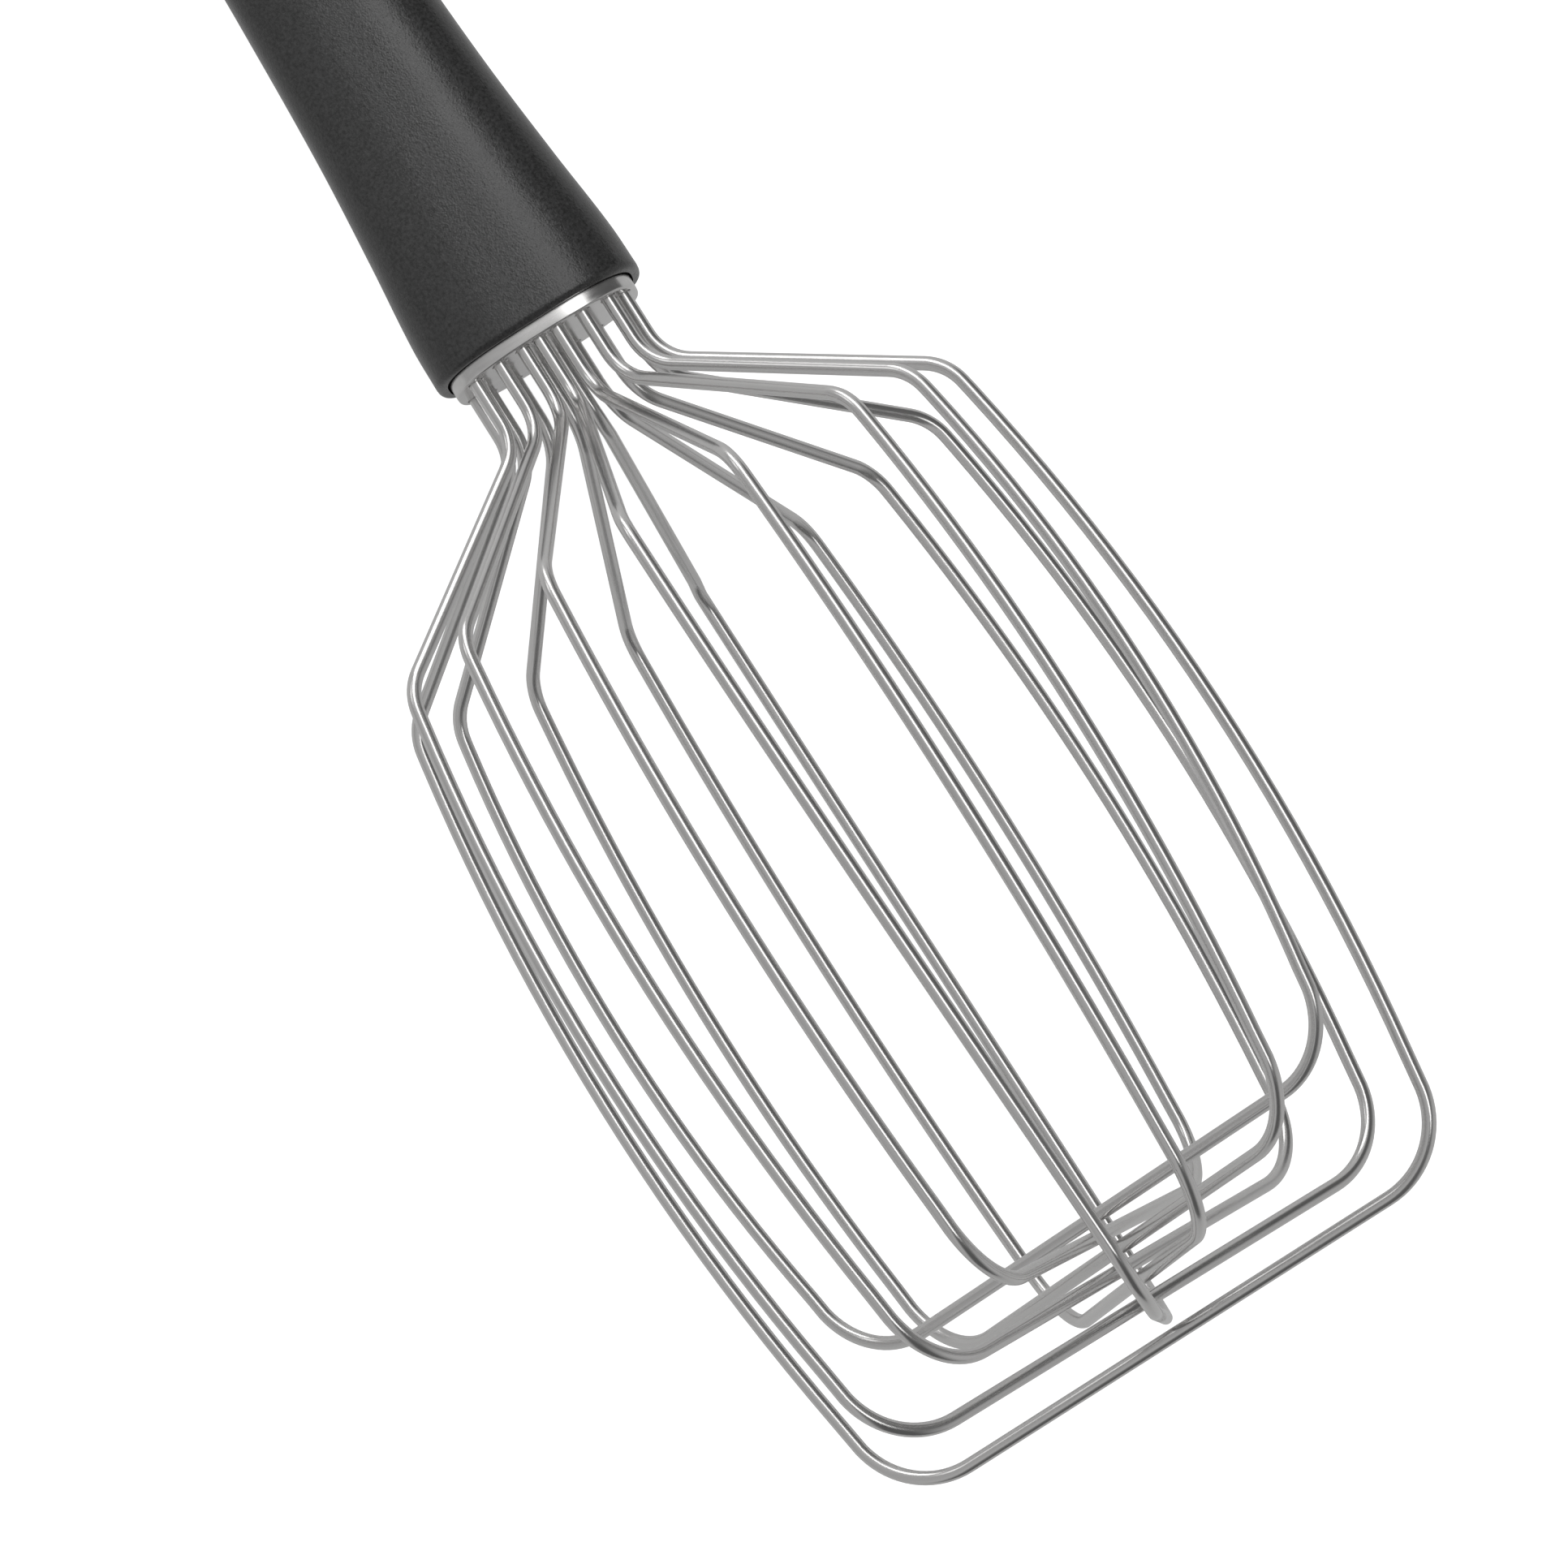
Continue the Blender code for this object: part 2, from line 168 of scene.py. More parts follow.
class Skin:
    """A skin grown ring by ring out of one circle, by extruding its open rim."""

    def __init__(self, segments: int, half_step: bool = False) -> None:
        """Start with a circle.

        Args:
            segments: vertices in each ring.
            half_step: turn the ring by half a segment, so that no vertex lies on an axis.
        """
        self.shape = bmesh.new()
        self.azimuth = self.shape.verts.layers.float.new("azimuth")
        self.space = self.shape.verts.layers.float_vector.new(SPACE)
        offset = HALF_TURN / segments if half_step else 0.0
        circle = bmesh.ops.create_circle(self.shape, cap_ends=False, segments=segments, radius=1.0)
        for vert in circle["verts"]:
            vert[self.azimuth] = math.atan2(vert.co.y, vert.co.x) + offset
        self.newest = circle["verts"]
        self.rim = list(self.shape.edges)
        self.first_rim = list(self.rim)
        self.rings = 0

    def grow(self, where: Callable[[float], Place]) -> None:
        """Extrude the rim once more, except for the first ring, and put its vertices in place.

        Args:
            where: gives the place and the pattern place of the vertex at an azimuth.
        """
        if self.rings:
            grown = bmesh.ops.extrude_edge_only(self.shape, edges=self.rim)["geom"]
            self.newest = [item for item in grown if isinstance(item, bmesh.types.BMVert)]
            ring = set(self.newest)
            edges = (item for item in grown if isinstance(item, bmesh.types.BMEdge))
            self.rim = [edge for edge in edges if ring.issuperset(edge.verts)]
        for vert in self.newest:
            vert.co, vert[self.space] = where(vert[self.azimuth])
        self.rings += 1

    def cap(self) -> None:
        """Close both ends with flat faces."""
        bmesh.ops.edgeloop_fill(self.shape, edges=self.first_rim)
        bmesh.ops.edgeloop_fill(self.shape, edges=self.rim)

    def join_ends(self) -> None:
        """Bridge the last ring to the first, which closes a sleeve."""
        bmesh.ops.bridge_loops(self.shape, edges=self.first_rim + self.rim)

    def mesh(self, name: str, pose: Matrix) -> bpy.types.Mesh:
        """Lay the skin down and hand it over as a mesh.

        Args:
            name: of the mesh.
            pose: the matrix from the tool's frame to the row frame.

        Returns:
            The mesh, with its normals out and smooth shading between sharp edges.
        """
        self.shape.verts.layers.float.remove(self.azimuth)
        self.shape.transform(pose)
        bmesh.ops.recalc_face_normals(self.shape, faces=self.shape.faces)
        mesh = bpy.data.meshes.new(name)
        self.shape.to_mesh(mesh)
        self.shape.free()
        return smooth(mesh)


def ring_at(
    x: float, section: Oblong, pattern: Callable[[Vector], Vector] = Vector
) -> Callable[[float], Place]:
    """One ring of a piece whose sections are oblong.

    Args:
        x: its place along the tool.
        section: its outline.
        pattern: gives the pattern place of a point, the point itself unless it is given.

    Returns:
        The place of the ring's vertex at an angle.
    """

    def where(angle: float) -> Place:
        """The place of the ring's vertex at an angle."""
        point = section.point(x, angle)
        return point, pattern(point)

    return where


def smooth(mesh: bpy.types.Mesh) -> bpy.types.Mesh:
    """Shade a mesh smooth, apart from its sharp edges.

    Args:
        mesh: the mesh to shade.

    Returns:
        The same mesh.
    """
    mesh.shade_smooth()
    mesh.set_sharp_from_angle(angle=SHARPEST_SMOOTH)
    return mesh


def add_object(name: str, mesh: bpy.types.Mesh) -> bpy.types.Object:
    """Put a mesh in the scene, at the origin.

    Args:
        name: of the new object.
        mesh: its mesh.

    Returns:
        The object.
    """
    piece = bpy.data.objects.new(name, mesh)
    bpy.context.scene.collection.objects.link(piece)
    return piece


def cut_away(
    piece: bpy.types.Object, cutter: bpy.types.Object, pattern: Callable[[Vector], Vector]
) -> None:
    """Take the cutter's shape out of a piece for good, and remove the cutter.

    Args:
        piece: the object that loses material. Its mesh is replaced.
        cutter: a closed mesh that reaches through it.
        pattern: gives the pattern place of a point on the piece, for the vertices that are new.
    """
    boolean = piece.modifiers.new("cut", "BOOLEAN")
    boolean.operation = "DIFFERENCE"
    boolean.solver = "EXACT"
    boolean.object = cutter
    evaluated = piece.evaluated_get(bpy.context.evaluated_depsgraph_get())
    whole = piece.data
    piece.data = bpy.data.meshes.new_from_object(evaluated)
    piece.modifiers.clear()
    bpy.data.meshes.remove(whole)
    bpy.data.objects.remove(cutter, do_unlink=True)
    piece.data.name = piece.name
    stored = piece.data.attributes.get(SPACE)
    space = stored or piece.data.attributes.new(SPACE, "FLOAT_VECTOR", "POINT")
    for spot, vert in zip(space.data, piece.data.vertices):
        spot.vector = pattern(vert.co)
    smooth(piece.data)


# ------------------------------ finishes


class Tree:
    """A node tree being wired."""

    def __init__(self, tree: bpy.types.NodeTree) -> None:
        """Take over a tree."""
        self.tree = tree

    def add(self, kind: str, **inputs: object) -> bpy.types.Node:
        """Add a node.

        Args:
            kind: the node's type name without its ShaderNode prefix.
            inputs: values or sockets by input name, with _ for a space. A name that is a
                setting of the node in lower case sets that instead.

        Returns:
            The node.
        """
        node = self.tree.nodes.new("ShaderNode" + kind)
        for name, value in inputs.items():
            if name.islower():
                setattr(node, name, value)
        for name, value in inputs.items():
            if not name.islower():
                self.feed(node.inputs[name.replace("_", " ")], value)
        return node

    def feed(self, socket: bpy.types.NodeSocket, value: object) -> None:
        """Set a socket to a value, or wire another socket to it.

        Args:
            socket: the input.
            value: a plain value or another node's output.
        """
        if isinstance(value, bpy.types.NodeSocket):
            self.tree.links.new(value, socket)
        else:
            socket.default_value = value

    def math(self, operation: str, first: object, second: object = 0.0) -> bpy.types.NodeSocket:
        """Add a Math node.

        Args:
            operation: what it does.
            first: its first value or socket.
            second: its second value or socket.

        Returns:
            Its result.
        """
        node = self.add("Math", operation=operation)
        self.feed(node.inputs[0], first)
        self.feed(node.inputs[1], second)
        return node.outputs[0]

    def spread(
        self, value: object, low: float, high: float, to: tuple[float, float] = (0.0, 1.0)
    ) -> bpy.types.NodeSocket:
        """Take a value from one range to another, held at both ends.

        Args:
            value: the value or socket.
            low: the start of its range.
            high: the end of its range.
            to: the range that it is taken to.

        Returns:
            The result.
        """
        node = self.add(
            "MapRange", Value=value, From_Min=low, From_Max=high, To_Min=to[0], To_Max=to[1]
        )
        return node.outputs["Result"]

    def tint(self, mask: bpy.types.NodeSocket, dark: object, light: object) -> bpy.types.NodeSocket:
        """Mix two colours.

        Args:
            mask: 0 for the first, 1 for the second.
            dark: the first colour, or a socket.
            light: the second.

        Returns:
            The mixed colour.
        """
        node = self.add("Mix", data_type="RGBA")
        sockets = [socket for socket in node.inputs if socket.type == "RGBA"]
        self.feed(node.inputs["Factor"], mask)
        self.feed(sockets[0], dark)
        self.feed(sockets[1], light)
        return next(socket for socket in node.outputs if socket.type == "RGBA")


Colour = tuple[float, float, float, float]


def grey(value: float, warmth: float = 0.0) -> Colour:
    """A grey, or one a little warm or cool."""
    return (value * (1.0 + warmth), value, value * (1.0 - warmth), 1.0)


class Effect(Enum):
    """Surface effects that materials share, each a node group built once."""

    STREAKS = "long_streaks"
    GRAIN = "fine_grain"
    HANDLING = "handling_marks"

    def group(self) -> bpy.types.NodeTree:
        """The effect's node group, built the first time that it is asked for."""
        found = bpy.data.node_groups.get(self.value)
        return found or EFFECT_BUILDERS[self]()

    def place(self, tree: Tree, **inputs: object) -> bpy.types.Node:
        """Put the effect in a material.

        Args:
            tree: the material's.
            inputs: values or sockets by input name, with _ for a space.

        Returns:
            The group's node.
        """
        node = tree.tree.nodes.new("ShaderNodeGroup")
        node.node_tree = self.group()
        for name, value in inputs.items():
            tree.feed(node.inputs[name.replace("_", " ")], value)
        return node


def new_group(
    effect: Effect, values: dict[str, float], outputs: Iterable[str]
) -> tuple[Tree, bpy.types.Node, bpy.types.Node]:
    """Start a node group that works on a pattern place.

    Args:
        effect: whose group it is.
        values: its float inputs, with what each is unless a material says otherwise.
        outputs: names of its float outputs.

    Returns:
        The tree to wire, its input node and its output node.
    """
    group = bpy.data.node_groups.new(effect.value, "ShaderNodeTree")
    group.interface.new_socket("Vector", in_out="INPUT", socket_type="NodeSocketVector")
    for name, value in values.items():
        socket = group.interface.new_socket(name, in_out="INPUT", socket_type="NodeSocketFloat")
        socket.default_value = value
    for name in outputs:
        group.interface.new_socket(name, in_out="OUTPUT", socket_type="NodeSocketFloat")
    return Tree(group), group.nodes.new("NodeGroupInput"), group.nodes.new("NodeGroupOutput")


def build_streaks() -> bpy.types.NodeTree:
    """Fine lines that run along the pattern's X, from drawing a wire or brushing a plate.

    Returns:
        The group, which puts out a height and a mask of duller patches.
    """
    fine_share = 0.7  # of the height; the broad lines make up the rest
    broad_to_fine = 0.16  # scale of the broad lines to the fine ones'
    tree, given, out = new_group(
        Effect.STREAKS, {"Scale": 4000.0, "Stretch": 0.02}, ("Height", "Patches")
    )
    squeeze = tree.add("CombineXYZ", X=given.outputs["Stretch"], Y=1.0, Z=1.0)
    run = tree.add("VectorMath", operation="MULTIPLY")
    tree.feed(run.inputs[0], given.outputs["Vector"])
    tree.feed(run.inputs[1], squeeze.outputs[0])
    fine = tree.add("TexNoise", Vector=run.outputs[0], Scale=given.outputs["Scale"], Detail=3.0)
    broad_scale = tree.math("MULTIPLY", given.outputs["Scale"], broad_to_fine)
    broad = tree.add("TexNoise", Vector=run.outputs[0], Scale=broad_scale, Detail=2.0)
    shallow = tree.math("MULTIPLY", broad.outputs["Fac"], 1.0 - fine_share)
    height = tree.math("ADD", tree.math("MULTIPLY", fine.outputs["Fac"], fine_share), shallow)
    tree.feed(out.inputs["Height"], height)
    tree.feed(out.inputs["Patches"], tree.spread(broad.outputs["Fac"], 0.32, 0.68))
    return tree.tree


def build_grain() -> bpy.types.NodeTree:
    """The grain of a spark-eroded mould: small soft pits and a wider mottle.

    Returns:
        The group, which puts out a height and the mottle's mask.
    """
    bump_to_pit = 0.5  # scales of the wider patterns to the pits'
    mottle_to_pit = 0.55
    pit_depth = 0.55  # against the bumps'
    tree, given, out = new_group(Effect.GRAIN, {"Scale": 3000.0}, ("Height", "Mottle"))
    place, scale = given.outputs["Vector"], given.outputs["Scale"]
    pits = tree.add("TexVoronoi", feature="SMOOTH_F1", Vector=place, Scale=scale, Smoothness=0.6)
    bump_scale = tree.math("MULTIPLY", scale, bump_to_pit)
    bumps = tree.add("TexNoise", Vector=place, Scale=bump_scale, Detail=4.0, Roughness=0.6)
    mottle_scale = tree.math("MULTIPLY", scale, mottle_to_pit)
    mottle = tree.add("TexNoise", Vector=place, Scale=mottle_scale, Detail=3.0, Roughness=0.65)
    height = tree.math("MULTIPLY", pits.outputs["Distance"], pit_depth)
    height = tree.math("ADD", height, bumps.outputs["Fac"])
    tree.feed(out.inputs["Height"], height)
    tree.feed(out.inputs["Mottle"], tree.spread(mottle.outputs["Fac"], 0.3, 0.7))
    return tree.tree


def build_handling() -> bpy.types.NodeTree:
    """Faint cloudy marks of handling and washing up.

    Returns:
        The group, which puts out a mask of the marks.
    """
    tree, given, out = new_group(Effect.HANDLING, {"Scale": 120.0, "Amount": 0.5}, ("Mask",))
    place, scale = given.outputs["Vector"], given.outputs["Scale"]
    cloud = tree.add("TexNoise", Vector=place, Scale=scale, Detail=5.0, Distortion=0.6)
    marks = tree.spread(cloud.outputs["Fac"], 0.45, 0.72)
    tree.feed(out.inputs["Mask"], tree.math("MULTIPLY", marks, given.outputs["Amount"]))
    return tree.tree


EFFECT_BUILDERS: dict[Effect, Callable[[], bpy.types.NodeTree]] = {
    Effect.STREAKS: build_streaks,
    Effect.GRAIN: build_grain,
    Effect.HANDLING: build_handling,
}


@dataclass(frozen=True, kw_only=True)
class Finish:
    """What every finish has: a name, the record's slot, and a Principled shader."""

    name: str
    slot: str
    own_space: bool = True  # whether its pieces carry the pattern attribute

    def start(
        self, metallic: float
    ) -> tuple[Tree, bpy.types.Material, bpy.types.Node, bpy.types.NodeSocket]:
        """Make an empty material.

        Args:
            metallic: 1 for bare metal, 0 for anything else.

        Returns:
            Its tree, the material, its shader, and the socket that holds the pattern place.
        """
        material = bpy.data.materials.new(self.name)
        material.use_nodes = True
        shader = material.node_tree.nodes["Principled BSDF"]
        shader.inputs["Metallic"].default_value = metallic
        tree = Tree(material.node_tree)
        if self.own_space:
            place = tree.add("Attribute", attribute_name=SPACE).outputs["Vector"]
        else:
            place = tree.add("TexCoord").outputs["Object"]
        return tree, material, shader, place


@dataclass(frozen=True)
class DrawnSteel(Finish):
    """Stainless wire drawn through a die and tumbled: bright, with faint lines along it."""

    dark: Colour
    light: Colour
    roughness: tuple[float, float]
    line_scale: float
    line_stretch: float
    line_depth: float
    mark_scale: float = 260.0
    mark_amount: float = 0.35

    def material(self) -> bpy.types.Material:
        """Build the finish.

        Returns:
            Its material.
        """
        tree, material, shader, place = self.start(metallic=1.0)
        lines = Effect.STREAKS.place(
            tree, Vector=place, Scale=self.line_scale, Stretch=self.line_stretch
        )
        marks = Effect.HANDLING.place(
            tree, Vector=place, Scale=self.mark_scale, Amount=self.mark_amount
        )
        patches, height = lines.outputs["Patches"], lines.outputs["Height"]
        tree.feed(shader.inputs["Base Color"], tree.tint(patches, self.dark, self.light))
        smudged = tree.math("ADD", patches, marks.outputs["Mask"])
        tree.feed(shader.inputs["Roughness"], tree.spread(smudged, 0.0, 1.2, self.roughness))
        bump = tree.add("Bump", Height=height, Strength=0.5, Distance=self.line_depth)
        tree.feed(shader.inputs["Normal"], bump.outputs["Normal"])
        return material


@dataclass(frozen=True)
class Moulded(Finish):
    """Moulded plastic or rubber with an eroded grain."""

    dark: Colour
    light: Colour
    roughness: tuple[float, float]
    grain_scale: float
    grain_depth: float
    gloss: float = 0.5  # the shader's specular level
    mark_scale: float = 90.0
    mark_amount: float = 0.6

    def material(self) -> bpy.types.Material:
        """Build the finish.

        Returns:
            Its material.
        """
        tree, material, shader, place = self.start(metallic=0.0)
        grain = Effect.GRAIN.place(tree, Vector=place, Scale=self.grain_scale)
        marks = Effect.HANDLING.place(
            tree, Vector=place, Scale=self.mark_scale, Amount=self.mark_amount
        )
        mottle, height = grain.outputs["Mottle"], grain.outputs["Height"]
        tree.feed(shader.inputs["Base Color"], tree.tint(mottle, self.dark, self.light))
        rubbed = tree.math("SUBTRACT", mottle, marks.outputs["Mask"])
        rub_range = (-self.mark_amount, 1.0)
        tree.feed(shader.inputs["Roughness"], tree.spread(rubbed, *rub_range, self.roughness))
        shader.inputs["Specular IOR Level"].default_value = self.gloss
        bump = tree.add("Bump", Height=height, Strength=0.6, Distance=self.grain_depth)
        tree.feed(shader.inputs["Normal"], bump.outputs["Normal"])
        return material


WIRE_STEEL = DrawnSteel(
    name="drawn_wire_steel",
    slot="steel_wire",
    dark=grey(0.62, 0.010),
    light=grey(0.70, 0.010),
    roughness=(0.20, 0.27),
    line_scale=7000.0,
    line_stretch=0.006,
    line_depth=0.0015 * MM,
)
PLATE_STEEL = DrawnSteel(
    name="satin_plate_steel",
    slot="brushed_plate",
    dark=grey(0.60, 0.01),
    light=grey(0.68, 0.01),
    roughness=(0.17, 0.25),
    line_scale=6500.0,
    line_stretch=0.03,
    line_depth=0.004 * MM,
)
SOFT_GRIP = Moulded(
    name="charcoal_soft_touch",
    slot="soft_touch",
    dark=grey(0.012),
    light=grey(0.044),
    roughness=(0.20, 0.34),
    grain_scale=4200.0,
    grain_depth=0.06 * MM,
    gloss=0.58,
)
CAP_PLASTIC = Moulded(
    name="charcoal_cap_plastic",
    slot="cap_plastic",
    dark=grey(0.018),
    light=grey(0.036),
    roughness=(0.32, 0.44),
    grain_scale=3800.0,
    grain_depth=0.06 * MM,
)
CORE_PLASTIC = Moulded(
    name="grey_core_plastic",
    slot="core_plastic",
    dark=grey(0.10),
    light=grey(0.13),
    roughness=(0.45, 0.60),
    grain_scale=1800.0,
    grain_depth=0.04 * MM,
    own_space=False,
)


# ------------------------------ the tool


@dataclass(frozen=True)
class Pose:
    """How the tool lies on the table."""

    lie_turn: float = math.radians(7.8)  # about its own axis, which puts two legs down
    butt_reach: float = 134.0 * MM  # from the plate's face to the flat of the butt

    def matrix(self, record: dict) -> Matrix:
        """The matrix from the tool's frame to the row frame.

        Args:
            record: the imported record, whose mount is the flat of the butt.

        Returns:
            The 4 by 4 matrix.
        """
        butt = next(mount for mount in record["mounts"] if mount["name"] == "butt")
        towards_foot = -Vector(butt["axis"]).normalized()
        plate = Vector(butt["pos_m"]) + towards_foot * self.butt_reach
        tip = math.asin(towards_foot.z)
        turned = Matrix.Rotation(-tip, 4, "Y") @ Matrix.Rotation(self.lie_turn, 4, "X")
        return Matrix.Translation(plate) @ turned


@dataclass
class Workshop:
    """What every sub-assembly needs to hand its pieces over."""

    pose: Matrix

    def hand_over(
        self, piece: bpy.types.Object, node: str, material: bpy.types.Material
    ) -> None:
        """Dress a new piece, and let it stand for its CAD node.

        Args:
            piece: the finished object.
            node: the CAD node that it replaces.
            material: the finish's material.
        """
        piece.data.materials.clear()
        piece.data.materials.append(material)
        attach(piece, "root")
        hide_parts(node)
        low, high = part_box(node)
        corners = [piece.matrix_world @ Vector(corner) for corner in piece.bound_box]
        off_low = max(abs(min(c[i] for c in corners) - low[i]) for i in range(3))
        off_high = max(abs(max(c[i] for c in corners) - high[i]) for i in range(3))
        off = max(off_low, off_high) / MM
        faces = len(piece.data.polygons)
        LOG.info("%s: %d faces, %.2f mm off its node", piece.name, faces, off)


@dataclass(frozen=True)
class Bends:
    """One wire loop, as it was bent and set.

    Azimuths run from +Y towards +Z in degrees; the back leg's is measured from the opposite side.
    """

    number: int
    plate: float
    front: float
    back: float
    foot: float
    nest: float  # foot bars inwards from the outermost one
    girth: float = 1.0  # of the cage's
    lean: float = 0.0  # mm that the foot bar stands towards the front leg


@dataclass
class WireCage:
    """Eight squared-off loops of one gauge of wire, nested in one another at the foot."""

    wire_radius: float = 0.9 * MM
    end_x: float = -13.0 * MM
    neck_x: float = 9.5 * MM
    neck_bend: float = 7.0 * MM
    shoulder_x: float = 30.4 * MM
    shoulder_bend: float = 7.0 * MM
    foot_bend: float = 11.0 * MM
    cage_radius: float = 46.3 * MM
    bow: float = 5.5 * MM
    bow_centre: float = 0.48
    foot_x: float = 144.5 * MM
    nest_pitch: float = 2.4 * MM
    ring: Oblong = Oblong(11.5 * MM, 7.4 * MM)
    bow_steps: int = 26
    bend_steps: int = 9
    bar_steps: int = 10
    sides: int = 24
    loops: tuple[Bends, ...] = (
        Bends(1, 15.0, 15.0, 14.5, 16.0, -0.2, 1.005, 0.5),
        Bends(2, 31.5, 31.5, 31.0, 33.0, 7.0),
        Bends(3, 51.0, 49.5, 52.0, 51.5, 5.0),
        Bends(4, 74.5, 74.5, 74.0, 75.0, 3.1),
        Bends(5, 94.0, 95.5, 89.5, 91.0, 1.0),
        Bends(6, 111.5, 111.5, 112.5, 111.5, 6.0),
        Bends(7, 132.0, 132.5, 131.0, 130.5, 4.0, 0.99),
        Bends(8, 153.0, 154.0, 152.5, 152.0, 2.0, 0.99, 0.3),
    )

    def leg_places(self) -> list[tuple[float, float]]:
        """Where the sixteen legs pass through the plate.

        Returns:
            Their (Y, Z) places.
        """
        places = []
        for loop in self.loops:
            for azimuth in (loop.plate, loop.plate + 180.0):
                point = self.ring.point(0.0, math.radians(azimuth))
                places.append((point.y, point.z))
        return places

    def bowed(self, share: float, girth: float, lean: float) -> float:
        """Distance of a side from the axis, at a share of the way from shoulder to foot."""
        radius = self.cage_radius - self.bow * ((share - self.bow_centre) / 0.5) ** 2
        return girth * radius + lean * share

    def leg_profile(
        self, root_radius: float, foot_x: float, girth: float, lean: float
    ) -> list[Vector]:
        """One leg in its own plane, from its blind end to the foot bar.

        Args:
            root_radius: distance of the leg's hole from the axis.
            foot_x: place of the foot bar along the tool.
            girth: the loop's share of the cage's width.
            lean: how far this leg stands out at the foot.

        Returns:
            Its points, as (x, distance from the axis).
        """
        side = []
        for step in range(self.bow_steps + 1):
            share = step / self.bow_steps
            x = self.shoulder_x + share * (foot_x - self.shoulder_x)
            side.append(Vector((x, self.bowed(share, girth, lean))))
        root = Vector((self.end_x, root_radius))
        neck = Vector((self.neck_x, root_radius))
        middle = Vector((foot_x, 0.0))
        profile = [root, Vector((0.0, root_radius))]
        profile += round_corner(root, neck, side[0], self.neck_bend, self.bend_steps)
        profile += round_corner(neck, side[0], side[1], self.shoulder_bend, self.bend_steps)
        foot = round_corner(side[-2], side[-1], middle, self.foot_bend, 2 * self.bend_steps)
        profile += [point for point in side[1:-1] if profile[-1].x < point.x < foot[0].x]
        return profile + foot

    def leg(
        self, angles: Iterable[float], foot_x: float, girth: float, lean: float
    ) -> list[Vector]:
        """The centre line of one leg in space.

        Args:
            angles: its azimuths at the plate, the shoulder and the foot, in degrees.
            foot_x: place of the foot bar along the tool.
            girth: the loop's share of the cage's width.
            lean: how far this leg stands out at the foot.

        Returns:
            Its points, from the blind end to the foot bar.
        """
        root, shoulder, foot = (math.radians(angle) for angle in angles)
        points = []
        for x, radius in self.leg_profile(self.ring.radius(root), foot_x, girth, lean):
            if x <= self.neck_x:
                angle = root
            elif x <= self.shoulder_x:
                share = (x - self.neck_x) / (self.shoulder_x - self.neck_x)
                angle = root + (shoulder - root) * share
            else:
                share = (x - self.shoulder_x) / (foot_x - self.shoulder_x)
                angle = shoulder + (foot - shoulder) * share
            points.append(Vector((x, radius * math.cos(angle), radius * math.sin(angle))))
        return points

    def centre_line(self, loop: Bends) -> list[Vector]:
        """A whole loop's centre line: up the front leg, across the foot, down the back leg.

        Args:
            loop: how it was bent.

        Returns:
            Its points, from one blind end to the other.
        """
        foot_x = self.foot_x - loop.nest * self.nest_pitch
        back_angles = (loop.plate + 180.0, loop.back + 180.0, loop.foot + 180.0)
        lean = loop.lean * MM
        front = self.leg((loop.plate, loop.front, loop.foot), foot_x, loop.girth, lean)
        back = self.leg(back_angles, foot_x, loop.girth, -lean)[::-1]
        steps = range(1, self.bar_steps)
        bar = [front[-1].lerp(back[0], step / self.bar_steps) for step in steps]
        return front + bar + back

    def wire(self, line: list[Vector]) -> Skin:
        """Sweep the wire's round section along a centre line.

        Args:
            line: the centre line's points.

        Returns:
            A closed skin, whose pattern place is (length along the wire, and across it).
        """
        skin = Skin(self.sides)
        travelled = 0.0
        tangent = (line[1] - line[0]).normalized()
        side = tangent.orthogonal().normalized()
        arriving, leaving = [line[0]] + line[:-1], line[1:] + [line[-1]]
        for before, point, after in zip(arriving, line, leaving):
            travelled += (point - before).length
            turned = (after - before).normalized()
            side = tangent.rotation_difference(turned) @ side
            tangent = turned
            up = tangent.cross(side)

            def where(angle: float) -> Place:
                """The place of the ring's vertex at an angle."""
                across = self.wire_radius * math.cos(angle)
                over = self.wire_radius * math.sin(angle)
                return point + side * across + up * over, Vector((travelled, across, over))

            skin.grow(where)
        skin.cap()
        return skin

    def build(self, workshop: Workshop) -> None:
        """Make and dress all the loops.

        Args:
            workshop: where they are handed over.
        """
        material = WIRE_STEEL.material()
        for loop in self.loops:
            skin = self.wire(self.centre_line(loop))
            name = f"bright_wire_{loop.number}"
            piece = add_object(name, skin.mesh(name, workshop.pose))
            workshop.hand_over(piece, f"wire_loop_{loop.number}", material)


